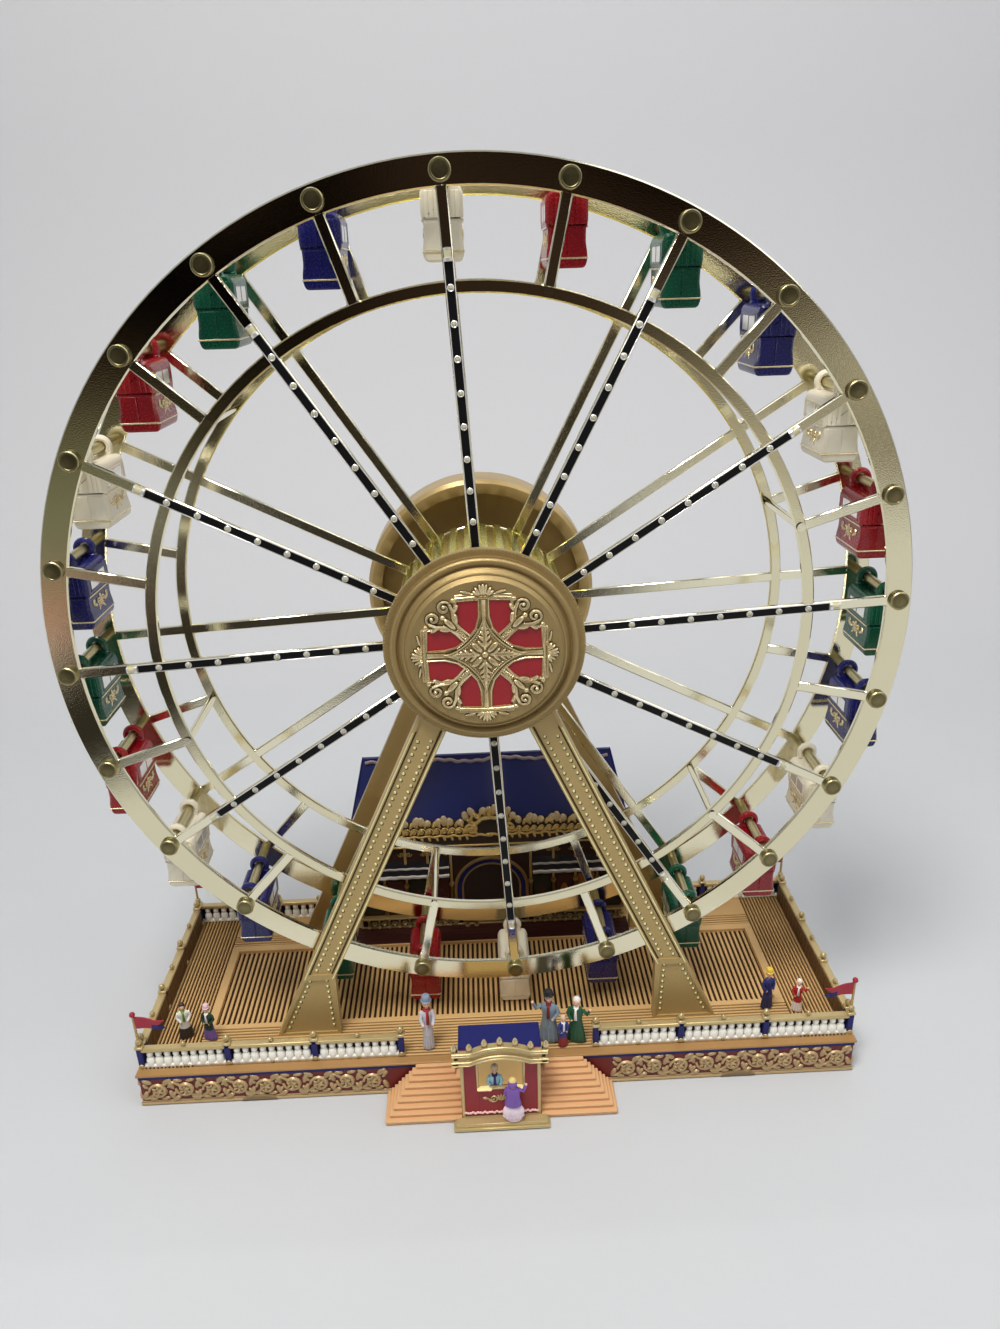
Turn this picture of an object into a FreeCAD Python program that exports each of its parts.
import FreeCAD, Part
import math
import os
import re
import Sketcher
from FreeCAD import Placement, Rotation, Vector

# Tabletop fairground ferris wheel, motor driven, with lights and music.
# Millimetres. X runs to the right, Y to the back and Z up. The origin lies on the table,
# under the middle of the model.

DOC = FreeCAD.newDocument("FerrisWheel")

# ---------------------------------------------------------------------------------------
# Driving sizes
# ---------------------------------------------------------------------------------------
SIZES = {
    # wheel
    "wheel_front": (-19, "Y of the front face of the front wheel half"),
    "wheel_gap": (40.9, "free space between the wheel halves"),
    "half_thick": (2.2, "thickness of a wheel half"),
    "pin_circle": (170, "radius of the circle of gondola pins"),
    "gondola_count": (24, "number of gondolas"),
    "first_angle": (-3.2, "angle of the first pin from the top, clockwise from the front"),
    "rim_half": (5.4, "half width of the rim, on either side of the circle of pins"),
    "ring_outer": (135.3, "outer radius of the inner ring"),
    "ring_inner": (130.7, "inner radius of the inner ring"),
    "spoke_width": (4.4, "width of a spoke or strut"),
    "flange_radius": (36, "hub flange of a wheel half"),
    "drum_radius": (37, "outer radius of the centre drum"),
    "drum_wall": (2.5, "wall of the centre drum"),
    "axle_radius": (4, "radius of the main axle"),
    "spacer_radius": (12, "radius of the spacer boss behind the wheel"),
    "running_play": (0.05, "radial play of a shaft in its bearing"),
    "end_play": (0.3, "axial play of a moving part"),
    # gondola pins, tie rods and light strips
    "pin_radius": (2, "radius of a gondola pin"),
    "pin_head_radius": (3.6, "radius of a pin's head"),
    "pin_head_thick": (1.9, "thickness of a pin's head"),
    "pin_tail_radius": (1.5, "radius of a pin's pressed end"),
    "pin_grip": (4, "length of a pin's pressed end"),
    "boss_radius": (3.4, "radius of a pin boss on the rear half"),
    "boss_length": (3.6, "length of a pin boss behind the rear half"),
    "rod_radius": (1.6, "radius of a tie rod"),
    "rod_shank": (1, "radius of a tie rod's screwed end"),
    "rod_head_radius": (1.7, "radius of a tie rod's head"),
    "rod_head_thick": (0.8, "thickness of a tie rod's head"),
    "strip_width": (3.6, "width of a light strip"),
    "strip_thick": (0.8, "thickness of a light strip"),
    "strip_start": (20, "radius where a light strip starts"),
    "strip_end": (144.5, "radius where a light strip ends"),
    "slip_radius": (17, "radius of the slip ring"),
    "slip_thick": (1, "thickness of the slip ring"),
    # gondola, measured from its pin
    "car_front": (9, "front of a gondola behind the wheel's front face"),
    "car_depth": (25, "depth of a gondola"),
    "lug_radius": (4.7, "radius of a gondola's hanging lug"),
    "lug_thick": (3.5, "thickness of a hanging lug"),
    "lug_play": (0.08, "radial play of a lug on its pin"),
    "roof_drop": (3.3, "pin to the top of the roof"),
    "eave_drop": (8, "pin to the canopy's upper edge"),
    "sill_drop": (14.5, "pin to the canopy's lower edge"),
    "trim_drop": (24.6, "pin to the trim line"),
    "car_drop": (27.9, "pin to the underside"),
    "car_clear": (1.2, "lowest gondola above the deck's field"),
    "roof_half": (5.5, "half width of the roof's flat top"),
    "canopy_half": (7.9, "half width of the canopy"),
    "tub_half": (7.3, "half width of the tub"),
    "floor_half": (6.4, "half width of the underside"),
    "window_deep": (1, "depth of the side windows"),
    "window_margin": (4, "side window to the gondola's front and back"),
    # frames
    "frame_gap": (3.2, "front frame to the wheel's front face"),
    "rear_gap": (14.7, "wheel's rear face to the rear frame"),
    "leg_thick": (5, "thickness of a frame"),
    "frame_disc": (39, "radius of the front frame's hub disc"),
    "leg_hub": (14.3, "leg's outer edge from the middle, at axle height"),
    "leg_foot": (105.1, "leg's outer edge from the middle, at the deck"),
    "leg_across": (14.6, "width of a leg, measured level"),
    "foot_inner": (75, "foot's inner edge from the middle"),
    "foot_rise": (34, "height of a foot"),
    "leg_lip": (1.5, "width of a leg's raised edge"),
    "leg_sink": (0.9, "depth of the leg's sunk face"),
    "panel_top": (30, "sunk face starts below the axle"),
    "dish_ring": (4.6, "width of the dish's front ring"),
    "dish_shoulder": (1.7, "depth of the dish's rounded shoulder"),
    "dish_face": (6.5, "dish's floor behind its front ring"),
    "dish_floor": (3, "thickness of the dish's floor"),
    "dish_depth": (16, "depth of the rear dish"),
    "motor_clear": (2, "gear motor to the wall of its cover"),
    "cover_ledge": (6.3, "ledge round the motor cover for its screws"),
    "cover_depth": (12, "depth of the motor cover"),
    "shell": (2, "wall of covers, booth and pavilion"),
    "bush_radius": (6, "outer radius of an axle bush"),
    # front hub cap
    "cap_radius": (40.3, "outer radius of the hub cap"),
    "cap_edge": (2.6, "height of the cap's outer edge"),
    "cap_groove": (37.8, "outer radius of the cap's raised ring"),
    "cap_ring": (34.2, "inner radius of the cap's raised ring"),
    "cap_ring_high": (4.6, "height of the raised ring"),
    "cap_flat": (30, "radius of the cap's flat face"),
    "cap_high": (9.8, "height of the cap's flat face"),
    "cap_wall": (1.6, "wall of the cap"),
    "lattice_bar": (2.1, "half width of a bar between two windows"),
    "lattice_reach": (22.4, "outer edge of the windows from the middle"),
    "lens_radius": (25, "radius of the red lens"),
    "lens_thick": (1, "thickness of the red lens"),
    # drive
    "tooth_module": (1, "module of the gears"),
    "gear_teeth": (48, "teeth of the drive gear"),
    "pinion_teeth": (16, "teeth of the motor pinion"),
    "gear_width": (4, "width of the gears"),
    "gear_clear": (1, "dish floor to the gears"),
    "tooth_play": (0.12, "play between the teeth"),
    "motor_radius": (10, "radius of the gear motor"),
    "motor_length": (10.5, "length of the gear motor"),
    "shaft_radius": (1.5, "radius of the motor shaft"),
    "shaft_grip": (3, "motor shaft inside the motor"),
    # base
    "base_half": (166.8, "half width of the deck"),
    "deck_front": (-47.8, "Y of the deck's front edge"),
    "deck_back": (69.2, "Y of the deck's back edge"),
    "deck_top": (18.2, "deck above the table"),
    "deck_thick": (3.2, "thickness of the deck"),
    "field_side": (29.8, "sunk field from the deck's sides"),
    "field_front": (-17.5, "Y of the field's front edge"),
    "field_back": (36, "Y of the field's back edge"),
    "field_sink": (2, "depth of the field"),
    "foot_thick": (1.5, "thickness of a rubber foot"),
    "foot_radius": (6, "radius of a rubber foot"),
    "base_inset": (1, "fascia behind the deck's edge"),
    "base_wall": (2, "wall of the chassis"),
    "lip_high": (1.6, "height of the lip under the deck"),
    "moulding_high": (3.2, "height of the bottom moulding"),
    "plate_thick": (2, "thickness of the bottom plate"),
    "boss_wide": (4, "radius of a screw boss in the chassis"),
    "screw_radius": (1.25, "radius of a screw"),
    "screw_head": (2.8, "radius of a screw head"),
    "screw_head_thick": (1, "thickness of a screw head"),
    "screw_length": (8, "length of a screw"),
    "screw_side": (16.8, "outer screws from the deck's sides"),
    "screw_inset": (14, "screws from the deck's front and back edges"),
    "foot_inset": (30, "rubber feet from the deck's front and back edges"),
    # railings and flags
    "rail_side": (2.11, "side railings' middle line from the deck's sides"),
    "rail_fore": (6.5, "front railings' middle line behind the deck's edge"),
    "rail_aft": (5.4, "back railings' middle line before the deck's edge"),
    "gate_half": (45.2, "middle to the post beside the gate"),
    "front_panels": (3, "panels of a front railing"),
    "post_side": (1.2, "half width of a post"),
    "post_high": (12.8, "height of a post"),
    "ball_radius": (1.7, "radius of a post's ball"),
    "rail_high": (11.1, "top of the rail above the deck"),
    "rail_thick": (2.2, "thickness of the top rail"),
    "rail_half": (1.5, "half width of the top rail"),
    "kerb_high": (1.4, "height of the bottom rail"),
    "baluster_radius": (1.3, "radius of a baluster"),
    "panel_balusters": (9, "balusters between two posts"),
    "pole_radius": (0.7, "radius of a flagpole"),
    "pole_high": (14.5, "height of a flagpole"),
    "flag_long": (13, "length of a pennant"),
    "flag_high": (7, "height of a pennant at the pole"),
    "flag_thick": (0.7, "thickness of a pennant"),
    # ticket booth and stairs
    "booth_front": (-65.5, "Y of the booth's front wall"),
    "booth_half": (17.6, "half width of the booth"),
    "booth_top": (40.2, "booth's walls above the table"),
    "plinth_front": (-71.6, "Y of the plinth's front"),
    "plinth_half": (21.5, "half width of the plinth in front of the booth"),
    "plinth_high": (3, "height of the plinth"),
    "ground_play": (0.5, "plinth and stairs above the table"),
    "fit_play": (0.1, "play between glued parts"),
    "window_half": (9.7, "half width of the booth's window"),
    "window_low": (19.6, "window sill above the table"),
    "window_high": (32.4, "window's upper corners above the table"),
    "window_rise": (2, "rise of the window's arch"),
    "sill_out": (0.8, "sill in front of the booth"),
    "sill_thick": (1.2, "thickness of the sill"),
    "cornice_half": (21, "half width of the cornice"),
    "cornice_over": (2.5, "cornice in front of the booth"),
    "cornice_deep": (6, "depth of the cornice"),
    "cornice_low": (32.4, "underside of the cornice's ends above the table"),
    "cornice_high": (7.4, "height of the cornice"),
    "cornice_arch": (13, "half width of the cornice's arch"),
    "arch_under": (4, "rise of the arch's underside"),
    "arch_over": (2.6, "rise of the arch's top"),
    "finial_radius": (0.9, "radius of a finial"),
    "finial_high": (4.8, "height of a finial"),
    "finials": (7, "number of finials"),
    "roof_thick": (1.6, "thickness of the booth's roof"),
    "roof_over": (0.4, "overhang of the booth's roof"),
    "steps": (9, "number of steps"),
    "stair_front": (-66, "Y of the lowest step's front"),
    "stair_top_x": (38.6, "outer end of the top step"),
    "stair_low_x": (52.4, "outer end of the lowest step"),
    # pavilion
    "hall_front": (51, "Y of the pavilion's front wall"),
    "hall_half": (72, "half width of the pavilion"),
    "hall_wall_top": (83.5, "pavilion's walls above the table"),
    "eave_over": (1.5, "eaves wider than the walls on each side"),
    "ridge_in": (7.5, "roof's top narrower than its eaves on each side"),
    "ridge_high": (115.6, "roof's top above the table"),
    "door_half": (17, "half width of the pavilion's doorway"),
    "door_spring": (45, "doorway's straight sides above the table"),
    "door_deep": (1.2, "depth of the doorway"),
    "crest_thick": (1.5, "thickness of the cresting"),
    "crest_low": (69.4, "underside of the cresting above the table"),
    "crest_high": (89, "top of the cresting's ends above the table"),
    "crest_peak": (95.3, "top of the cresting's arch above the table"),
    "crest_arch": (13, "half width of the cresting's arch"),
    # controls and electronics
    "control_high": (9.1, "controls above the table"),
    "button_x": (50, "song button from the middle"),
    "button_radius": (2.8, "radius of the song button"),
    "button_out": (2.6, "song button proud of the back"),
    "button_in": (2, "song button inside the back"),
    "button_travel": (1.5, "travel of the song button"),
    "collar_out": (0.8, "button's collar wider than the button"),
    "knob_x": (14, "volume knob from the middle"),
    "knob_radius": (3.8, "radius of the volume knob"),
    "knob_thick": (3.2, "thickness of the volume knob"),
    "stem_radius": (1.5, "radius of the volume knob's stem"),
    "pot_side": (4.5, "half width of the volume control"),
    "pot_deep": (6, "depth of the volume control"),
    "jack_x": (32, "power socket from the middle"),
    "jack_radius": (3, "radius of the power socket's hole"),
    "jack_side": (4.2, "half width of the power socket"),
    "jack_deep": (9, "depth of the power socket"),
    "board_half": (24, "half length of the circuit board"),
    "board_wide": (30, "width of the circuit board"),
    "board_thick": (1.6, "thickness of the circuit board"),
    "board_gap": (8, "circuit board to the back wall"),
    "standoff": (1.5, "circuit board above the bottom plate"),
    "standoff_inset": (5, "board's supports from its edges"),
    "speaker_side": (56.8, "speaker from the deck's left side"),
    "speaker_radius": (18, "radius of the speaker"),
    "speaker_thick": (6, "thickness of the speaker"),
    "magnet_radius": (9, "radius of the speaker's magnet"),
    "sound_hole": (1.5, "radius of a sound hole"),
    "sound_circle": (9, "radius of the circle of sound holes"),
    # figures
    "figure_high": (30, "height of a standing figure"),
    "child_high": (19, "height of the child"),
    "skirt_radius": (2.9, "radius of a figure's hem"),
    "shoulder_radius": (2.1, "radius of a figure's shoulders"),
    "head_radius": (2.1, "radius of a figure's head"),
}

# Sizes that follow from others
DERIVED = {
    "hub_height": ("=deck_top - field_sink + car_clear + car_drop + pin_circle", "axle above the table"),
    "pin_step": ("=360 / gondola_count", "angle from pin to pin"),
    "rim_outer": ("=pin_circle + rim_half", "outer radius of the rim"),
    "rim_inner": ("=pin_circle - rim_half", "inner radius of the rim"),
    "eave_half": ("=hall_half + eave_over", "half width of the roof's eaves"),
    "ridge_half": ("=hall_half + eave_over - ridge_in", "half width of the roof's top"),
    "motor_drop": ("=tooth_module * (gear_teeth + pinion_teeth) / 2", "motor's axis below the axle"),
    "cover_radius": ("=motor_drop + motor_radius + motor_clear + shell", "radius of the motor cover's can"),
    "dish_radius": ("=cover_radius + cover_ledge", "outer radius of the rear dish"),
    "dish_lip": ("=dish_radius - dish_shoulder", "outer radius of the dish's front ring"),
    "dish_inner": ("=dish_lip - dish_ring", "inner radius of the dish's front ring"),
    "screw_x": ("=base_half - screw_side", "outer screws from the middle"),
    "field_half": ("=base_half - field_side", "half width of the sunk field in the deck"),
    "rail_x": ("=base_half - rail_side", "side railings from the middle"),
    "rail_front": ("=deck_front + rail_fore", "Y of the front railings"),
    "rail_back": ("=deck_back - rail_aft", "Y of the back railings"),
    "speaker_x": ("=speaker_side - base_half", "speaker from the middle"),
}

sheet = DOC.addObject("Spreadsheet::Sheet", "Size")
ALIASES = {**SIZES, **DERIVED}
for row, (alias, (number, note)) in enumerate(ALIASES.items(), start=1):
    sheet.set("A%d" % row, alias)
    sheet.set("B%d" % row, str(number))
    sheet.set("C%d" % row, note)
    sheet.setAlias("B%d" % row, alias)
DOC.recompute()


def bound(expression):
    """Lead each size's name in an expression with the sheet's name."""
    def lead(match):
        word = match.group()
        return "Size." + word if word in ALIASES else word
    return re.sub(r"[a-z_]+[a-z0-9_]*", lead, expression)


def value(expression):
    """The number that an expression has now."""
    result = sheet.evalExpression(bound(expression))
    return float(getattr(result, "Value", result))


def bind(thing, **expressions):
    """Tie properties of an object to expressions."""
    for name, expression in expressions.items():
        thing.setExpression(name, bound(expression))
    return thing


def place(thing, x="0", y="0", z="0", axis=None, angle=None):
    """Tie an object's place, and its turn about an axis, to expressions."""
    if axis:
        thing.Placement = Placement(Vector(), Rotation(Vector(*axis), 1))
        thing.setExpression("Placement.Rotation.Angle", bound(angle))
    for letter, expression in zip("xyz", (x, y, z)):
        if expression != "0":
            thing.setExpression("Placement.Base." + letter, bound(expression))
    return thing


# ---------------------------------------------------------------------------------------
# Solids
# ---------------------------------------------------------------------------------------
def box(name, x, y, z):
    """A block between the two ends given on each axis."""
    block = DOC.addObject("Part::Box", name)
    lengths = ["(%s) - (%s)" % (high, low) for low, high in (x, y, z)]
    bind(block, Length=lengths[0], Width=lengths[1], Height=lengths[2])
    return place(block, x[0], y[0], z[0])


def post(name, radius, x, y, z):
    """An upright cylinder between two heights."""
    cylinder = DOC.addObject("Part::Cylinder", name)
    bind(cylinder, Radius=radius, Height="(%s) - (%s)" % (z[1], z[0]))
    return place(cylinder, x, y, z[0])


def shaft(name, radius, y, x="0", z="0"):
    """A cylinder that runs front to back between two places on Y."""
    cylinder = DOC.addObject("Part::Cylinder", name)
    bind(cylinder, Radius=radius, Height="(%s) - (%s)" % (y[1], y[0]))
    return place(cylinder, x, y[0], z, axis=(1, 0, 0), angle="-90")


def ball(name, radius, x, y, z):
    sphere = DOC.addObject("Part::Sphere", name)
    bind(sphere, Radius=radius)
    return place(sphere, x, y, z)


def cone(name, low, high, x, y, z):
    """An upright cone between two radii and two heights."""
    frustum = DOC.addObject("Part::Cone", name)
    bind(frustum, Radius1=low, Radius2=high, Height="(%s) - (%s)" % (z[1], z[0]))
    return place(frustum, x, y, z[0])


def fuse(name, parts):
    joined = DOC.addObject("Part::MultiFuse", name)
    joined.Shapes = parts
    joined.Refine = True
    return joined


def group(name, parts):
    """Separate solids that share one node, or one solid in another place."""
    together = DOC.addObject("Part::Compound", name)
    together.Links = parts
    return together


def cut(name, base, tools):
    """One solid less the others."""
    less = DOC.addObject("Part::Cut", name)
    less.Base = base
    less.Tool = tools[0] if len(tools) == 1 else group(name + "_tools", tools)
    less.Refine = True
    return less


def turned(name, part, angle):
    """A part turned about the wheel's axis, clockwise from the front."""
    return place(group(name, [part]), axis=(0, 1, 0), angle=angle)


def moved(name, part, x="0", y="0", z="0"):
    return place(group(name, [part]), x, y, z)


def mirrored(name, part):
    """A part's mirror image on the other side of the middle."""
    image = DOC.addObject("Part::Mirroring", name)
    image.Source = part
    image.Normal = Vector(1, 0, 0)
    return image


# ---------------------------------------------------------------------------------------
# Bodies made from an outline
# ---------------------------------------------------------------------------------------
def arch_radius(half, rise):
    """The radius of an arc that rises over a straight line of twice the half width."""
    return "(pow(%s; 2) + pow(%s; 2)) / (2 * (%s))" % (half, rise, rise)


def outline(body, role, corners):
    """A sketch on one of the body's planes, with every corner tied to expressions.

    A corner is (across, up), or (across, up, radius, side) where the edge to the next
    corner is an arc that bulges to the side +1, left of its way, or -1, right of it.
    """
    sketch = body.newObject("Sketcher::SketchObject", body.Name + "_outline")
    plane = next(part for part in body.Origin.OriginFeatures if part.Role == role)
    sketch.AttachmentSupport = [(plane, "")]
    sketch.MapMode = "FlatFace"
    spots = [Vector(value(corner[0]), value(corner[1]), 0) for corner in corners]
    arcs_to_left = set()
    for index, corner in enumerate(corners):
        start, end = spots[index], spots[(index + 1) % len(spots)]
        if len(corner) == 2:
            sketch.addGeometry(Part.LineSegment(start, end))
            continue
        chord = end - start
        left = Vector(-chord.y, chord.x, 0).normalize()
        radius = value(corner[2])
        rise = radius - math.sqrt(max(0, radius ** 2 - (chord.Length / 2) ** 2))
        sketch.addGeometry(Part.Arc(start, (start + end) / 2 + left * rise * corner[3], end))
        # A sketch keeps each arc counter-clockwise, so one that bulges left starts at its end.
        if corner[3] > 0:
            arcs_to_left.add(index)
        sketch.addConstraint(Sketcher.Constraint("Radius", index, radius))
        sketch.setExpression("Constraints[%d]" % (sketch.ConstraintCount - 1), bound(corner[2]))
    for index, corner in enumerate(corners):
        after = (index + 1) % len(corners)
        begin = 2 if index in arcs_to_left else 1
        begin_after = 2 if after in arcs_to_left else 1
        joint = Sketcher.Constraint("Coincident", index, 3 - begin, after, begin_after)
        sketch.addConstraint(joint)
        for kind, expression, number in (("DistanceX", corner[0], spots[index].x),
                                         ("DistanceY", corner[1], spots[index].y)):
            sketch.addConstraint(Sketcher.Constraint(kind, -1, 1, index, begin, number))
            path = "Constraints[%d]" % (sketch.ConstraintCount - 1)
            sketch.setExpression(path, bound(expression))
    return sketch


def plate(name, corners, thickness, y="0"):
    """A plate that stands across the model, its outline in X and Z, from y to the back."""
    body = DOC.addObject("PartDesign::Body", name)
    sketch = outline(body, "XZ_Plane", corners)
    pad = body.newObject("PartDesign::Pad", name + "_pad")
    pad.Profile = sketch
    pad.Reversed = True
    bind(pad, Length=thickness)
    return place(body, y=y)


def turning(name, corners):
    """A body turned about the wheel's axis, its outline in radius and Y."""
    body = DOC.addObject("PartDesign::Body", name)
    sketch = outline(body, "XY_Plane", corners)
    revolution = body.newObject("PartDesign::Revolution", name + "_turn")
    revolution.Profile = sketch
    revolution.ReferenceAxis = (sketch, ["V_Axis"])
    revolution.Angle = 360
    return body


NODES = []


def node(label, part):
    """Name a finished piece. Its file gets the same name."""
    part.Label = label
    NODES.append(part)
    return part


def at_hub(label, part, y="wheel_front"):
    """Set a piece that was made round the origin on the wheel's axis."""
    return node(label, place(part, y=y, z="hub_height"))


# ---------------------------------------------------------------------------------------
# Wheel. Its pieces are made round the origin, with Y counted from the front half's face.
# ---------------------------------------------------------------------------------------
PINS = int(value("gondola_count"))
ALL_PINS = range(PINS)
ROD_PINS = range(1, PINS, 4)
SPOKE_PINS = range(0, PINS, 2)
REAR = "half_thick + wheel_gap"
BACK = REAR + " + half_thick"
FRONT_FRAME = "wheel_front - frame_gap - leg_thick"
REAR_FRAME = "wheel_front + %s + rear_gap" % BACK
COVER_FRONT = REAR_FRAME + " + dish_depth"
GEAR_FRONT = REAR_FRAME + " + dish_face + dish_floor + gear_clear"
SPACER_END = REAR_FRAME + " + dish_face - end_play - wheel_front"
ROD_CIRCLE = "(ring_inner + ring_outer) / 2"
COLOURS = ("white", "red", "green", "blue")


def pin_angle(index):
    return "first_angle + %d * pin_step" % index


def ring_of(name, part, indexes):
    """Copies of a part at some of the pins' angles."""
    return [turned("%s_%02d" % (name, index + 1), part, pin_angle(index)) for index in indexes]


def ring_plate(name, outer, inner, y):
    """A flat ring."""
    return cut(name, shaft(name + "_out", outer, y), [shaft(name + "_in", inner, y)])


def wheel_half(name, y, pin_hole, extras=()):
    """Rim, inner ring, hub flange, twelve spokes and twelve short struts in one piece."""
    across = ("-spoke_width / 2", "spoke_width / 2")
    spoke = box(name + "_spoke", across, y, ("flange_radius - 1", "rim_inner + 1"))
    strut = box(name + "_strut", across, y, ("ring_outer - 1", "rim_inner + 1"))
    solids = [ring_plate(name + "_rim", "rim_outer", "rim_inner", y),
              ring_plate(name + "_ring", "ring_outer", "ring_inner", y),
              shaft(name + "_flange", "flange_radius", y)]
    solids += ring_of(name + "_spoke", spoke, SPOKE_PINS)
    solids += ring_of(name + "_strut", strut, range(1, PINS, 2))
    solids += extras
    rod_hole = shaft(name + "_rod_hole", "rod_shank", y, z=ROD_CIRCLE)
    holes = ring_of(name + "_pin_hole", pin_hole, ALL_PINS)
    holes += ring_of(name + "_rod_hole", rod_hole, ROD_PINS)
    holes.append(shaft(name + "_bore", "axle_radius", (y[0], SPACER_END)))
    return cut(name, fuse(name + "_solid", solids), holes)


front_hole = shaft("front_pin_hole", "pin_radius", ("0", "half_thick"), z="pin_circle")
at_hub("front_wheel_half", wheel_half("front_half", ("0", "half_thick"), front_hole))

tail = (REAR, REAR + " + pin_grip")
rear_hole = shaft("rear_pin_hole", "pin_tail_radius", tail, z="pin_circle")
boss = shaft("pin_boss", "boss_radius", (REAR, BACK + " + boss_length"), z="pin_circle")
bosses = ring_of("pin_boss", boss, ALL_PINS)
bosses.append(shaft("spacer", "spacer_radius", (REAR, SPACER_END)))
at_hub("rear_wheel_half", wheel_half("rear_half", (REAR, BACK), rear_hole, bosses))

at_hub("centre_drum", turning("drum", [
    ("axle_radius", "half_thick"),
    ("drum_radius", "half_thick"),
    ("drum_radius", REAR),
    ("axle_radius", REAR),
    ("axle_radius", REAR + " - drum_wall"),
    ("drum_radius - drum_wall", REAR + " - drum_wall"),
    ("drum_radius - drum_wall", "half_thick + drum_wall"),
    ("axle_radius", "half_thick + drum_wall"),
]))

pin = fuse("pin", [
    shaft("pin_head", "pin_head_radius", ("-pin_head_thick", "0"), z="pin_circle"),
    shaft("pin_stem", "pin_radius", ("0", REAR), z="pin_circle"),
    shaft("pin_tail", "pin_tail_radius", tail, z="pin_circle"),
])
at_hub("gondola_pins", group("pins", ring_of("pin", pin, ALL_PINS)))

rod = fuse("rod", [
    shaft("rod_head", "rod_head_radius", ("-rod_head_thick", "0"), z=ROD_CIRCLE),
    shaft("rod_neck", "rod_shank", ("0", "half_thick"), z=ROD_CIRCLE),
    shaft("rod_stem", "rod_radius", ("half_thick", REAR), z=ROD_CIRCLE),
    shaft("rod_tail", "rod_shank", (REAR, BACK), z=ROD_CIRCLE),
])
at_hub("tie_rods", group("rods", ring_of("rod", rod, ROD_PINS)))

strip = box("strip", ("-strip_width / 2", "strip_width / 2"), ("-strip_thick", "0"),
            ("strip_start", "strip_end"))
at_hub("light_strips", group("strips", ring_of("strip", strip, SPOKE_PINS)))

at_hub("slip_ring", ring_plate("slip", "slip_radius", "axle_radius", ("-slip_thick", "0")))

AXLE_FRONT = "-frame_gap - leg_thick + end_play"
at_hub("main_axle", shaft("axle", "axle_radius", (AXLE_FRONT, GEAR_FRONT + " + gear_width - wheel_front")))


# ---------------------------------------------------------------------------------------
# Gondola: one closed car, hung on its pin by two lugs, repeated round the wheel
# ---------------------------------------------------------------------------------------
def gondola():
    """A closed car with a canopy, made round the axis of its pin."""
    half = [("floor_half", "-car_drop"), ("tub_half", "-trim_drop"), ("tub_half", "-sill_drop"),
            ("canopy_half", "-sill_drop"), ("canopy_half", "-eave_drop"), ("roof_half", "-roof_drop")]
    other = [("-" + across, drop) for across, drop in reversed(half)]
    solids = [plate("car_shell", half + other, "car_depth", y="car_front")]
    for side, low, high in (("front", "car_front", "car_front + lug_thick"),
                            ("rear", "car_front + car_depth - lug_thick", "car_front + car_depth")):
        solids.append(shaft("lug_" + side, "lug_radius", (low, high)))
        solids.append(box("lug_neck_" + side, ("-lug_radius", "lug_radius"), (low, high),
                          ("-eave_drop", "0")))
    window_y = ("car_front + window_margin", "car_front + car_depth - window_margin")
    window_z = ("-sill_drop + window_deep", "-eave_drop")
    holes = [
        shaft("lug_hole", "pin_radius + lug_play", ("car_front", "car_front + car_depth")),
        box("window_right", ("canopy_half - window_deep", "canopy_half + 1"), window_y, window_z),
        box("window_left", ("-canopy_half - 1", "window_deep - canopy_half"), window_y, window_z),
    ]
    return cut("car", fuse("car_solid", solids), holes)


car = gondola()
for index in ALL_PINS:
    label = "gondola_%02d_%s" % (index + 1, COLOURS[index % len(COLOURS)])
    hung = moved(label, car, "pin_circle * sin(%s)" % pin_angle(index), "wheel_front",
                 "hub_height + pin_circle * cos(%s)" % pin_angle(index))
    node(label, hung)


# ---------------------------------------------------------------------------------------
# Front and rear frames, hub cap and motor cover
# ---------------------------------------------------------------------------------------
DECK_DROP = "(hub_height - deck_top)"
FOOT_TOP = "(%s - foot_rise)" % DECK_DROP
LEG_LEAN = "((leg_foot - leg_hub) / %s)" % DECK_DROP
LEVEL_LIP = "leg_lip * sqrt(1 + pow(%s; 2))" % LEG_LEAN


def leg_outer(drop):
    """The leg's outer edge from the middle, at a drop below the axle."""
    return "leg_hub + %s * (%s)" % (LEG_LEAN, drop)


def leg_inner(drop):
    """The leg's inner edge above its foot."""
    return "leg_hub - leg_across + %s * (%s)" % (LEG_LEAN, drop)


def on_side(side, corners):
    """Corners given as (from the middle, below the axle), on the right or the left."""
    return [("%s(%s)" % (side, across), "-(%s)" % drop) for across, drop in corners]


def leg_corners():
    top = "leg_across"
    return [(leg_inner(top), top), (leg_outer(top), top), (leg_outer(DECK_DROP), DECK_DROP),
            ("foot_inner", DECK_DROP), (leg_inner(FOOT_TOP), FOOT_TOP)]


def bar_corners():
    """The sunk face of a leg, inside its raised edges."""
    low = FOOT_TOP + " - leg_lip"
    corners = [("%s + %s" % (leg_inner(drop), LEVEL_LIP), drop) for drop in (low, "panel_top")]
    return corners + [("%s - %s" % (leg_outer(drop), LEVEL_LIP), drop) for drop in ("panel_top", low)]


def foot_corners():
    """The sunk face of a foot."""
    top, low = FOOT_TOP + " + leg_lip", DECK_DROP + " - leg_lip"
    return [("foot_inner + leg_lip", low), ("%s + 2 * leg_lip" % leg_inner(FOOT_TOP), top),
            ("%s - %s" % (leg_outer(top), LEVEL_LIP), top), ("%s - %s" % (leg_outer(low), LEVEL_LIP), low)]


SIDES = (("right", ""), ("left", "-"))


def legs(name):
    return [plate("%s_leg_%s" % (name, word), on_side(side, leg_corners()), "leg_thick")
            for word, side in SIDES]


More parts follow.
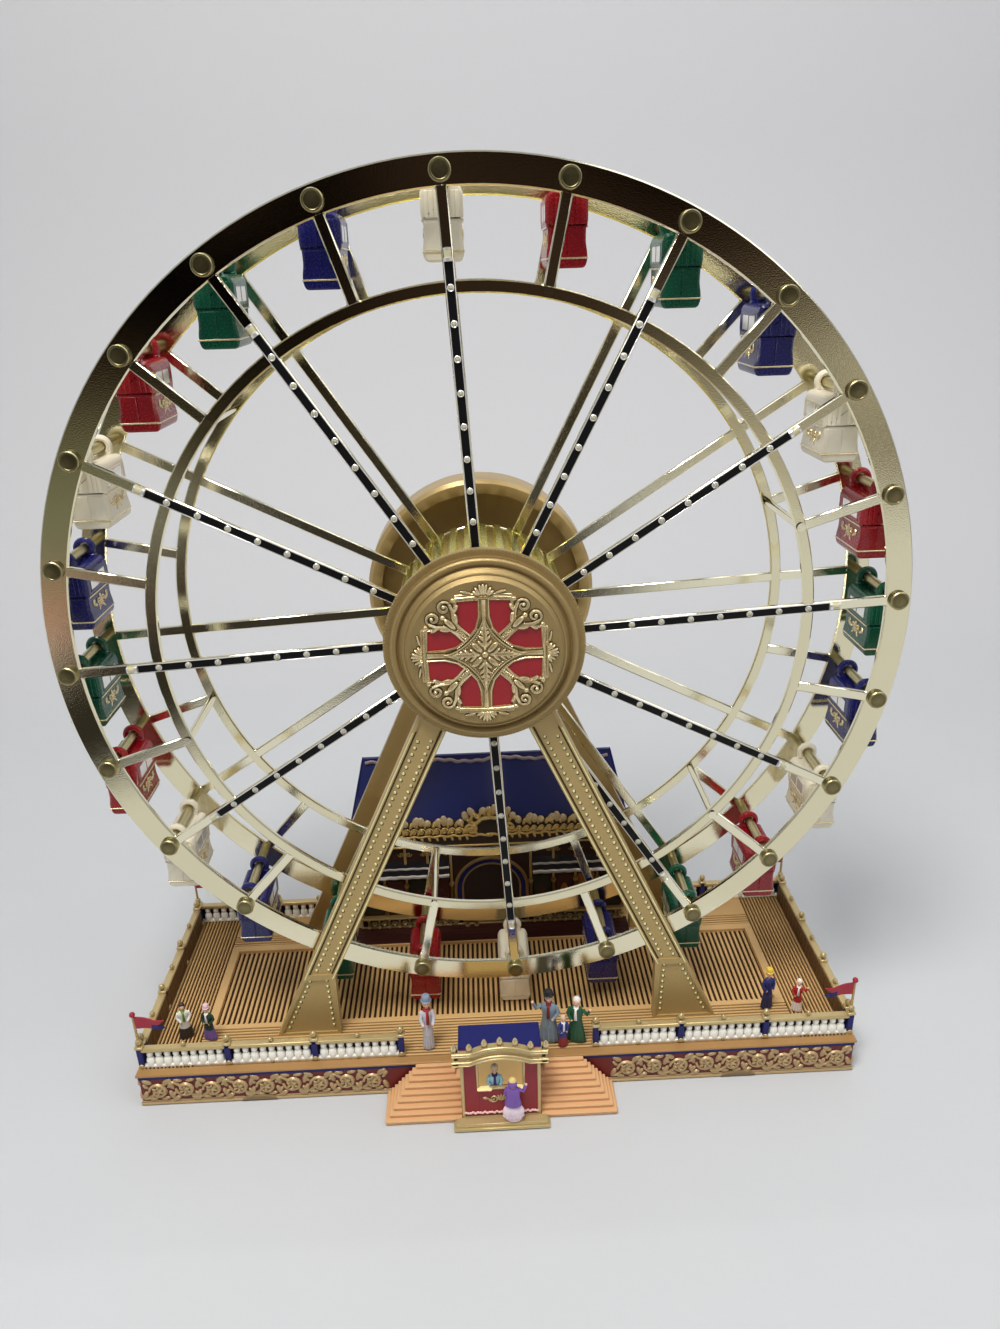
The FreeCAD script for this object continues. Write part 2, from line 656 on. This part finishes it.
front_disc = shaft("front_disc", "frame_disc", ("0", "leg_thick"))
sunk = [shaft("front_bush_seat", "bush_radius", ("0", "leg_thick"))]
for word, side in SIDES:
    sunk.append(plate("sunk_bar_" + word, on_side(side, bar_corners()), "leg_sink"))
    sunk.append(plate("sunk_foot_" + word, on_side(side, foot_corners()), "leg_sink"))
front_a = cut("front_a", fuse("front_a_solid", legs("front")), [sunk[index] for index in range(1, 5)])
front_hub = cut("front_hub", fuse("front_hub_solid", [front_a, front_disc]), [sunk[0]])
at_hub("front_frame", front_hub, FRONT_FRAME)

DISH_BACK = "dish_face + dish_floor"
COVER_SCREWS = "(cover_radius + dish_radius) / 2"
dish = turning("dish", [
    ("bush_radius", "dish_face"),
    ("dish_inner", "dish_face"),
    ("dish_inner", "0"),
    ("dish_lip", "0"),
    ("dish_radius", "dish_shoulder"),
    ("dish_radius", "dish_depth"),
    ("dish_radius - shell", "dish_depth"),
    ("dish_radius - shell", DISH_BACK),
    ("bush_radius", DISH_BACK),
])
rear_legs = cut("rear_legs", fuse("rear_legs_solid", legs("rear")),
                [shaft("rear_core", "(dish_inner + dish_radius) / 2", ("0", "leg_thick"))])
cover_boss = shaft("cover_boss", "dish_radius - cover_radius", (DISH_BACK, "dish_depth"), z=COVER_SCREWS)
dish_rim = cut("dish_rim", shaft("dish_rim_out", "2 * dish_radius", (DISH_BACK, "dish_depth")),
               [shaft("dish_rim_in", "dish_radius", (DISH_BACK, "dish_depth"))])
cover_bore = shaft("cover_bore", "screw_radius", ("dish_depth + shell - screw_length", "dish_depth"),
                   z=COVER_SCREWS)
THIRDS = range(0, 360, 120)


def by_thirds(name, part):
    return [turned("%s_%d" % (name, angle), part, str(angle)) for angle in THIRDS]


dish_solid = cut("dish_solid", fuse("dish_bossed", [dish] + by_thirds("cover_boss", cover_boss)), [dish_rim])
rear_a = cut("rear_a", fuse("rear_a_solid", [dish_solid, rear_legs]), by_thirds("cover_bore", cover_bore))
at_hub("rear_frame", rear_a, REAR_FRAME)

bushes = []
for word, low, high in (("front", FRONT_FRAME, FRONT_FRAME + " + leg_thick"),
                        ("rear", REAR_FRAME + " + dish_face", REAR_FRAME + " + " + DISH_BACK)):
    bushes.append(place(ring_plate("bush_" + word, "bush_radius", "axle_radius + running_play",
                                   ("0", "(%s) - (%s)" % (high, low))), y=low, z="hub_height"))
node("axle_bushes", group("bushes", bushes))

cover = turning("cover", [
    ("dish_radius", "0"),
    ("dish_radius", "shell"),
    ("cover_radius", "shell"),
    ("cover_radius", "cover_depth - shell"),
    ("cover_radius - shell", "cover_depth"),
    ("0", "cover_depth"),
    ("0", "cover_depth - shell"),
    ("cover_radius - shell", "cover_depth - shell"),
    ("cover_radius - shell", "0"),
])
cover_hole = shaft("cover_hole", "screw_radius", ("0", "shell"), z=COVER_SCREWS)
at_hub("motor_cover", cut("cover_bored", cover, by_thirds("cover_hole", cover_hole)), COVER_FRONT)

cap_solid = turning("cap_solid", [
    ("0", "0"),
    ("0", "-cap_high"),
    ("cap_flat", "-cap_high"),
    ("cap_ring", "-cap_ring_high"),
    ("cap_groove", "-cap_ring_high"),
    ("cap_groove", "-cap_edge"),
    ("cap_radius", "-cap_edge"),
    ("cap_radius", "0"),
])
cap_hollow = turning("cap_hollow", [
    ("0", "0"),
    ("0", "-cap_high + cap_wall"),
    ("cap_flat - cap_wall", "-cap_high + cap_wall"),
    ("cap_ring - cap_wall", "-cap_ring_high + cap_wall"),
    ("cap_ring - cap_wall", "0"),
])
window = plate("cap_window", [
    ("lattice_bar", "lattice_reach"),
    ("lattice_bar + 0.3", "lattice_reach * 0.68"),
    ("lattice_bar * 2.7", "lattice_reach * 0.38"),
    ("lattice_bar + 0.39 * lattice_reach", "lattice_reach * 0.72"),
    ("lattice_bar + 0.31 * lattice_reach", "lattice_reach * 0.9"),
    ("lattice_bar + 0.3 * lattice_reach", "lattice_reach"),
], "3 * cap_wall", y="-cap_high - cap_wall")
panes = fuse("window_pair", [window, mirrored("window_twin", window)])
holes = [cap_hollow] + [turned("window_pair_%d" % angle, panes, str(angle)) for angle in range(0, 360, 90)]
at_hub("hub_cap", cut("cap", cap_solid, holes), FRONT_FRAME)

at_hub("hub_lens", shaft("lens", "lens_radius", ("0", "lens_thick")),
       FRONT_FRAME + " - cap_high + cap_wall")


# ---------------------------------------------------------------------------------------
# Drive: the motor's pinion turns the drive gear on the axle
# ---------------------------------------------------------------------------------------
PRESSURE = math.radians(20)
FLANK_POINTS = 5


def gear_blank(teeth):
    """A spur gear with involute teeth, in its own plane, its first tooth on X."""
    module = value("tooth_module")
    pitch = module * teeth / 2
    base = pitch * math.cos(PRESSURE)
    tip, root = pitch + 0.9 * module, pitch - 1.25 * module
    half_tooth = math.pi / (2 * teeth) - value("tooth_play") / (2 * pitch)

    def flank(radius):
        """Half the tooth's angle at a radius."""
        roll = math.acos(min(1, base / radius))
        return half_tooth + math.tan(PRESSURE) - PRESSURE - (math.tan(roll) - roll)

    start = max(base, root)
    radii = [start + (tip - start) * step / (FLANK_POINTS - 1) for step in range(FLANK_POINTS)]
    half_profile = [(root, flank(start))] + [(radius, flank(radius)) for radius in radii]
    points = []
    for tooth in range(teeth):
        middle = 2 * math.pi * tooth / teeth
        profile = [(radius, middle - angle) for radius, angle in half_profile]
        profile += [(radius, middle + angle) for radius, angle in reversed(half_profile)]
        points += [Vector(radius * math.cos(angle), radius * math.sin(angle), 0) for radius, angle in profile]
    corners = [points[-1]]
    for point in points:
        if point.distanceToPoint(corners[-1]) > 0.001:
            corners.append(point)
    return Part.Face(Part.makePolygon(corners)).extrude(Vector(0, 0, value("gear_width")))


def set_gear(name, shape, turn, z):
    """Stand a gear made along Z on the wheel's or the motor's axis, facing the back."""
    gear = DOC.addObject("Part::Feature", name)
    gear.Shape = shape
    upright = Placement(Vector(0, value(GEAR_FRONT), z), Rotation(Vector(1, 0, 0), -90))
    gear.Placement = upright.multiply(Placement(Vector(), Rotation(Vector(0, 0, 1), turn)))
    return gear


MOTOR_FRONT = COVER_FRONT + " + cover_depth - shell - motor_length"
pinion_count = int(value("pinion_teeth"))
axle_z = value("hub_height")
gear_bore = Part.makeCylinder(value("axle_radius"), value("gear_width"))
node("drive_gear", set_gear("gear", gear_blank(int(value("gear_teeth"))).cut(gear_bore), 0, axle_z))
stem_long = value("%s + shaft_grip - (%s)" % (MOTOR_FRONT, GEAR_FRONT))
pinion_stem = Part.makeCylinder(value("shaft_radius"), stem_long)
pinion_shape = gear_blank(pinion_count).fuse(pinion_stem).removeSplitter()
node("motor_pinion", set_gear("pinion", pinion_shape, 180 / pinion_count, axle_z - value("motor_drop")))

motor = cut("motor", shaft("motor_body", "motor_radius", ("0", "motor_length")),
            [shaft("motor_bore", "shaft_radius + running_play", ("0", "shaft_grip + end_play"))])
node("gear_motor", place(motor, y=MOTOR_FRONT, z="hub_height - motor_drop"))


# ---------------------------------------------------------------------------------------
# Base: deck, chassis, bottom plate, rubber feet and screws
# ---------------------------------------------------------------------------------------
UNDER_DECK = "deck_top - deck_thick"
PLATE_TOP = "foot_thick + plate_thick"
ROOM_TOP = "deck_top - deck_thick - base_wall"
BACK_FACE = "deck_back - base_inset"
BACK_INSIDE = "deck_back - base_inset - base_wall"


def base_board(name, inset, z):
    """A board as wide and deep as the base, drawn in by an inset."""
    return box(name, ("(%s) - base_half" % inset, "base_half - (%s)" % inset),
               ("deck_front + (%s)" % inset, "deck_back - (%s)" % inset), z)


sunk_field = box("sunk_field", ("-field_half", "field_half"), ("field_front", "field_back"),
                 ("deck_top - field_sink", "deck_top"))
node("deck", cut("deck_cut", base_board("deck_board", "0", (UNDER_DECK, "deck_top")), [sunk_field]))

SCREW_SPOTS = [(x, y) for x in ("-screw_x", "0", "screw_x")
               for y in ("deck_front + screw_inset", "deck_back - screw_inset")]


def at_screws(name, radius, z):
    return [post("%s_%d" % (name, number), radius, x, y, z)
            for number, (x, y) in enumerate(SCREW_SPOTS, start=1)]


through_back = (BACK_INSIDE, "deck_back")
back_holes = [
    shaft("button_hole", "button_radius + running_play", through_back, "button_x", "control_high"),
    shaft("stem_hole", "stem_radius + running_play", through_back, "knob_x", "control_high"),
    shaft("jack_hole", "jack_radius", through_back, "jack_x", "control_high"),
]
chassis_solid = fuse("chassis_solid", [
    base_board("fascia", "base_inset", ("foot_thick", UNDER_DECK)),
    base_board("lip", "0", (UNDER_DECK + " - lip_high", UNDER_DECK)),
    base_board("moulding", "0", ("foot_thick", "foot_thick + moulding_high")),
])
room = base_board("room", "base_inset + base_wall", ("foot_thick", ROOM_TOP))
screw_bosses = at_screws("screw_boss", "boss_wide", (PLATE_TOP, ROOM_TOP))
boss_bores = at_screws("boss_bore", "screw_radius", (PLATE_TOP, "foot_thick + screw_length"))
hollow_chassis = cut("hollow_chassis", chassis_solid, [room] + back_holes)
node("base_chassis", cut("chassis", fuse("chassis_bossed", [hollow_chassis] + screw_bosses), boss_bores))

SPEAKER_Y = "(deck_front + deck_back) / 2"
sound_holes = [post("sound_hole_%d" % angle, "sound_hole", "speaker_x + sound_circle * cos(%d)" % angle,
                    "%s + sound_circle * sin(%d)" % (SPEAKER_Y, angle), ("foot_thick", PLATE_TOP))
               for angle in range(0, 360, 60)]
bottom = base_board("bottom_board", "base_inset + base_wall + fit_play", ("foot_thick", PLATE_TOP))
plate_holes = at_screws("plate_hole", "screw_radius", ("foot_thick", PLATE_TOP))
node("bottom_plate", cut("bottom", bottom, plate_holes + sound_holes))

screw_stems = at_screws("screw_stem", "screw_radius", ("foot_thick", "foot_thick + screw_length"))
screw_heads = at_screws("screw_head", "screw_head", ("foot_thick - screw_head_thick", "foot_thick"))
screws = [fuse("screw_%d" % number, list(pair)) for number, pair in enumerate(zip(screw_heads, screw_stems))]
cover_screw = fuse("cover_screw", [
    shaft("cover_screw_stem", "screw_radius", ("shell - screw_length", "shell"), z=COVER_SCREWS),
    shaft("cover_screw_head", "screw_head", ("shell", "shell + screw_head_thick"), z=COVER_SCREWS),
])
cover_screws = group("cover_screws", by_thirds("cover_screw", cover_screw))
node("screws", group("all_screws", screws + [place(cover_screws, y=COVER_FRONT, z="hub_height")]))

feet = [post("rubber_foot_%d" % number, "foot_radius", x, y, ("0", "foot_thick"))
        for number, (x, y) in enumerate([(x, y) for x in ("-screw_x", "screw_x")
                                         for y in ("deck_front + foot_inset", "deck_back - foot_inset")])]
node("rubber_feet", group("feet", feet))


# ---------------------------------------------------------------------------------------
# Railings and corner flags
# ---------------------------------------------------------------------------------------
RAIL_TOP = "deck_top + rail_high"


def between(start, end, parts):
    """Evenly spaced places from a start to an end, both included."""
    return ["%s + ((%s) - (%s)) * %d / %d" % (start, end, start, step, parts) for step in range(parts + 1)]


def railing(name, spots, line, along_x):
    """Posts with balls, two rails and the balusters between them, on a line along X or Y."""
    def lay(along, across):
        return (along, across) if along_x else (across, along)

    ends = (spots[0], spots[-1])
    thick = (line + " - rail_half", line + " + rail_half")
    solids = [box(name + "_rail", *lay(ends, thick), (RAIL_TOP + " - rail_thick", RAIL_TOP)),
              box(name + "_kerb", *lay(ends, thick), ("deck_top", "deck_top + kerb_high"))]
    for number, spot in enumerate(spots):
        sides = [(middle + " - post_side", middle + " + post_side") for middle in (spot, line)]
        solids.append(box("%s_post_%d" % (name, number), *lay(*sides), ("deck_top", "deck_top + post_high")))
        solids.append(ball("%s_ball_%d" % (name, number), "ball_radius", *lay(spot, line),
                           "deck_top + post_high + ball_radius / 2"))
    for panel, (here, there) in enumerate(zip(spots[:-1], spots[1:])):
        inside = between(here, there, int(value("panel_balusters")) + 1)[1:-1]
        for step, spot in enumerate(inside):
            solids.append(post("%s_baluster_%d_%d" % (name, panel, step), "baluster_radius",
                               *lay(spot, line), ("deck_top", RAIL_TOP)))
    return fuse(name, solids)


corner_gap = "2 * ball_radius + fit_play"
front_spots = between("gate_half", "rail_x", int(value("front_panels")))
front_run = railing("front_railing", front_spots, "rail_front", True)
side_spots = between("rail_front + " + corner_gap, "rail_back - (%s)" % corner_gap, 3)
side_run = railing("side_railing", side_spots, "rail_x", False)
back_spots = between("eave_half + post_side + fit_play", "rail_x", 2)
back_run = railing("back_railing", back_spots, "rail_back", True)
runs = [front_run, side_run, back_run]
node("railings", group("railing_runs", runs + [mirrored(run.Name + "_twin", run) for run in runs]))

pennant = plate("pennant", [
    ("0", "0"),
    ("flag_long", "flag_high * 0.3"),
    ("flag_long * 0.75", "flag_high * 0.5"),
    ("flag_long", "flag_high * 0.8"),
    ("0", "flag_high"),
], "flag_thick")
flag = fuse("flag", [
    post("pole", "pole_radius", "0", "0", ("0", "pole_high")),
    ball("pole_ball", "2 * pole_radius", "0", "0", "pole_high"),
    place(pennant, y="-flag_thick / 2", z="pole_high - flag_high - pole_radius"),
])
flags = []
for word, y in (("front", "rail_front"), ("back", "rail_back")):
    left = moved("flag_left_" + word, flag, "-rail_x", y, "deck_top + post_high + 1.5 * ball_radius")
    flags += [left, mirrored("flag_right_" + word, left)]
node("corner_flags", group("flags", flags))


# ---------------------------------------------------------------------------------------
# Ticket booth and stairs in front of the deck
# ---------------------------------------------------------------------------------------
BOOTH_BACK = "deck_front - fit_play"
BOOTH_FLOOR = "ground_play + plinth_high"
CORNICE_FRONT = "booth_front - cornice_over"

booth_solid = fuse("booth_solid", [
    box("plinth", ("-plinth_half", "plinth_half"), ("plinth_front", "stair_front - fit_play"),
        ("ground_play", BOOTH_FLOOR)),
    box("booth_floor", ("-booth_half", "booth_half"), ("stair_front - fit_play", BOOTH_BACK),
        ("ground_play", BOOTH_FLOOR)),
    box("booth_walls", ("-booth_half", "booth_half"), ("booth_front", BOOTH_BACK),
        (BOOTH_FLOOR, "booth_top")),
])
booth_room = box("booth_room", ("shell - booth_half", "booth_half - shell"),
                 ("booth_front + shell", BOOTH_BACK + " - shell"), (BOOTH_FLOOR + " + shell", "booth_top"))
booth_window = plate("booth_window", [
    ("-window_half", "window_low"),
    ("window_half", "window_low"),
    ("window_half", "window_high", arch_radius("window_half", "window_rise"), -1),
    ("-window_half", "window_high"),
], "shell", y="booth_front")
sill = box("sill", ("-window_half - sill_out", "window_half + sill_out"),
           ("booth_front - sill_out", "booth_front + shell"), ("window_low - sill_thick", "window_low"))
node("ticket_booth", fuse("booth", [cut("booth_hollow", booth_solid, [booth_room, booth_window]), sill]))

cornice_top = "cornice_low + cornice_high"
cornice_bar = plate("cornice_bar", [
    ("-cornice_half", "cornice_low"),
    ("-cornice_arch", "cornice_low", arch_radius("cornice_arch", "arch_under"), 1),
    ("cornice_arch", "cornice_low"),
    ("cornice_half", "cornice_low"),
    ("cornice_half", cornice_top),
    ("cornice_arch", cornice_top, arch_radius("cornice_arch", "arch_over"), -1),
    ("-cornice_arch", cornice_top),
    ("-cornice_half", cornice_top),
], "cornice_deep", y=CORNICE_FRONT)
finials = []
count = int(value("finials"))
for number in range(count):
    x = "(cornice_half - finial_radius) * %d / %d" % (2 * number - count + 1, count - 1)
    inside = abs(value(x)) < value("cornice_arch")
    foot = cornice_top + (" + arch_over * (1 - pow(%s / cornice_arch; 2))" % x if inside else "")
    finials.append(cone("finial_%d" % number, "finial_radius", "finial_radius / 3", x,
                        CORNICE_FRONT + " + 2 * finial_radius",
                        (foot + " - finial_radius", foot + " + finial_high - finial_radius")))
booth_notch = box("booth_notch", ("-booth_half", "booth_half"), ("booth_front", "booth_front + cornice_deep"),
                  ("cornice_low", "booth_top"))
node("booth_cornice", cut("cornice", fuse("cornice_solid", [cornice_bar] + finials), [booth_notch]))

node("booth_roof", box("roof_board", ("-booth_half - roof_over", "booth_half + roof_over"),
                       (CORNICE_FRONT + " + cornice_deep + fit_play", BOOTH_BACK),
                       ("booth_top", "booth_top + roof_thick")))

treads = []
last = int(value("steps")) - 1
for number in range(last + 1):
    outer = "stair_low_x + (stair_top_x - stair_low_x) * %d / %d" % (number, last)
    front = "stair_front + (%s - stair_front) * %d / steps" % (BOOTH_BACK, number)
    heights = ["ground_play + (deck_top - fit_play - ground_play) * %d / steps" % level
               for level in (number, number + 1)]
    treads.append(box("tread_%d" % number, ("booth_half + fit_play", outer), (front, BOOTH_BACK), heights))
stair = fuse("stair_right", treads)
node("stairs", group("stair_pair", [stair, mirrored("stair_left", stair)]))


# ---------------------------------------------------------------------------------------
# Pavilion at the back of the deck
# ---------------------------------------------------------------------------------------
hall = box("hall_block", ("-hall_half", "hall_half"), ("hall_front", "deck_back"),
           ("deck_top", "hall_wall_top"))
hall_room = box("hall_room", ("shell - hall_half", "hall_half - shell"),
                ("hall_front + shell", "deck_back - shell"), ("deck_top", "hall_wall_top - shell"))
doorway = plate("doorway", [
    ("-door_half", "deck_top"),
    ("door_half", "deck_top"),
    ("door_half", "door_spring", arch_radius("door_half", "door_half * 0.8"), -1),
    ("-door_half", "door_spring"),
], "door_deep", y="hall_front")
node("pavilion_walls", cut("hall", hall, [hall_room, doorway]))


def roof_block(name, inset, top, ridge):
    """The roof's solid, drawn in by an inset: a front and two ends that slope to a flat ridge."""
    wedge = DOC.addObject("Part::Wedge", name)
    bind(wedge, Xmin="%s - eave_half" % inset, Xmax="eave_half - %s" % inset,
         X2min="%s - ridge_half" % inset, X2max="ridge_half - %s" % inset, Ymin="0", Ymax=top,
         Zmin=inset, Zmax="deck_back - hall_front - %s" % inset, Z2min=inset, Z2max=ridge)
    return place(wedge, y="deck_back", z="hall_wall_top", axis=(1, 0, 0), angle="90")


ROOF_RISE = "ridge_high - hall_wall_top"
node("pavilion_roof", cut("roof", roof_block("roof_out", "0", ROOF_RISE, "shell"),
                          [roof_block("roof_in", "shell", ROOF_RISE + " - 2.5 * shell", "1.1 * shell")]))

node("pavilion_cresting", plate("cresting", [
    ("-eave_half", "crest_low"),
    ("eave_half", "crest_low"),
    ("eave_half", "crest_high"),
    ("crest_arch", "crest_high", arch_radius("crest_arch", "(crest_peak - crest_high)"), -1),
    ("-crest_arch", "crest_high"),
    ("-eave_half", "crest_high"),
], "crest_thick", y="hall_front - crest_thick"))


# ---------------------------------------------------------------------------------------
# Controls and electronics in the base
# ---------------------------------------------------------------------------------------
BOARD_LOW = PLATE_TOP + " + standoff"
BOARD_TOP = BOARD_LOW + " + board_thick"
BOARD_BACK = BACK_INSIDE + " - board_gap"
BUTTON_IN = BACK_INSIDE + " - button_in"

node("song_button", fuse("button", [
    shaft("button_stem", "button_radius", (BUTTON_IN, BACK_FACE + " + button_out"),
          "button_x", "control_high"),
    shaft("button_collar", "button_radius + collar_out", (BUTTON_IN, BACK_INSIDE + " - end_play"),
          "button_x", "control_high"),
]))

POT_BACK = BACK_INSIDE + " - fit_play"
KNOB_FRONT = BACK_FACE + " + end_play"
stem_y = (POT_BACK + " - pot_deep / 2", KNOB_FRONT + " + knob_thick / 2")
node("volume_knob", fuse("knob", [
    shaft("knob_disc", "knob_radius", (KNOB_FRONT, KNOB_FRONT + " + knob_thick"), "knob_x", "control_high"),
    shaft("knob_stem", "stem_radius", stem_y, "knob_x", "control_high"),
]))


def on_board(name, x, half, y, top):
    """A component that stands on the circuit board."""
    return box(name, ("%s - %s" % (x, half), "%s + %s" % (x, half)), y, (BOARD_LOW, top))


board = box("board", ("jack_x - board_half", "jack_x + board_half"),
            (BOARD_BACK + " - board_wide", BOARD_BACK), (BOARD_LOW, BOARD_TOP))
SWITCH_BACK = BUTTON_IN + " - button_travel - end_play"
components = [
    on_board("jack", "jack_x", "jack_side", (POT_BACK + " - jack_deep", POT_BACK),
             "control_high + jack_radius"),
    on_board("pot", "knob_x", "pot_side", (BOARD_BACK + " - 2", POT_BACK), "control_high + jack_radius"),
    on_board("switch", "button_x", "button_radius", (BOARD_BACK + " - 2", SWITCH_BACK),
             "control_high + stem_radius"),
]
supports = [post("support_%d" % number, "stem_radius", x, y, (PLATE_TOP, BOARD_LOW))
            for number, (x, y) in enumerate([(x, y) for x in ("jack_x - board_half + standoff_inset",
                                                              "jack_x + board_half - standoff_inset")
                                             for y in (BOARD_BACK + " - board_wide + standoff_inset",
                                                       BOARD_BACK + " - standoff_inset")])]
board_bores = [
    shaft("jack_bore", "jack_radius - 0.25", (POT_BACK + " - jack_deep / 2", POT_BACK),
          "jack_x", "control_high"),
    shaft("pot_bore", "stem_radius + running_play", (POT_BACK + " - pot_deep / 2 - end_play", POT_BACK),
          "knob_x", "control_high"),
]
node("circuit_board", cut("board_cut", fuse("board_solid", [board] + components + supports), board_bores))

node("speaker", fuse("speaker_solid", [
    post("speaker_rim", "speaker_radius", "speaker_x", SPEAKER_Y,
         (PLATE_TOP, PLATE_TOP + " + speaker_thick / 2")),
    post("speaker_magnet", "magnet_radius", "speaker_x", SPEAKER_Y,
         (PLATE_TOP, PLATE_TOP + " + speaker_thick")),
]))


# ---------------------------------------------------------------------------------------
# Little figures: a clerk in the booth and visitors on the deck and the plinth
# ---------------------------------------------------------------------------------------
def figure(name, x, y, floor, high):
    """A standing figure: skirt or coat, shoulders and head in one solid."""
    neck = "%s + %s - 1.7 * head_radius" % (floor, high)
    return fuse(name, [
        cone(name + "_coat", "skirt_radius", "shoulder_radius", x, y, (floor, neck)),
        ball(name + "_shoulders", "shoulder_radius * 1.15", x, y, neck + " - shoulder_radius"),
        ball(name + "_head", "head_radius", x, y, "%s + %s - head_radius" % (floor, high)),
    ])


VISITORS = [
    ("visitor_grey", "-32.7", "deck_front + 9.2", "figure_high + 1"),
    ("visitor_coat", "23.7", "deck_front + 9.9", "figure_high"),
    ("visitor_child", "30", "deck_front + 6.2", "child_high"),
    ("visitor_green", "36.5", "deck_front + 9.1", "figure_high - 3"),
    ("visitor_white", "-149", "deck_front + 24.3", "figure_high - 4"),
    ("visitor_purple", "-137.2", "deck_front + 22.9", "figure_high - 5"),
    ("visitor_yellow", "131.2", "deck_front + 24.2", "figure_high - 6"),
    ("visitor_red", "145", "deck_front + 22.7", "figure_high - 8"),
]
people = [figure(name, x, y, "deck_top", high) for name, x, y, high in VISITORS]
people.append(figure("lady_at_booth", "5.1", "booth_front - skirt_radius - 3 * fit_play", BOOTH_FLOOR,
                     "figure_high - 7"))
people.append(figure("clerk", "-1.6", "booth_front + shell + 2 * skirt_radius", BOOTH_FLOOR + " + shell",
                     "figure_high - 4"))
node("figures", group("people", people))


# ---------------------------------------------------------------------------------------
# Check every object, then write one file for each piece
# ---------------------------------------------------------------------------------------
DOC.recompute()
faults = [thing.Name for thing in DOC.Objects if "Invalid" in thing.State or "Error" in thing.State]
for piece in NODES:
    if piece.Shape.isNull() or not piece.Shape.isValid() or not piece.Shape.Solids:
        faults.append(piece.Label)
if faults:
    raise RuntimeError("failed objects: " + ", ".join(sorted(set(faults))))

os.makedirs("parts", exist_ok=True)
for piece in NODES:
    piece.Shape.exportStep("parts/%s.step" % piece.Label)
    print("%-24s %3d solids %10.1f mm3" % (piece.Label, len(piece.Shape.Solids), piece.Shape.Volume))
print(len(NODES), "pieces")
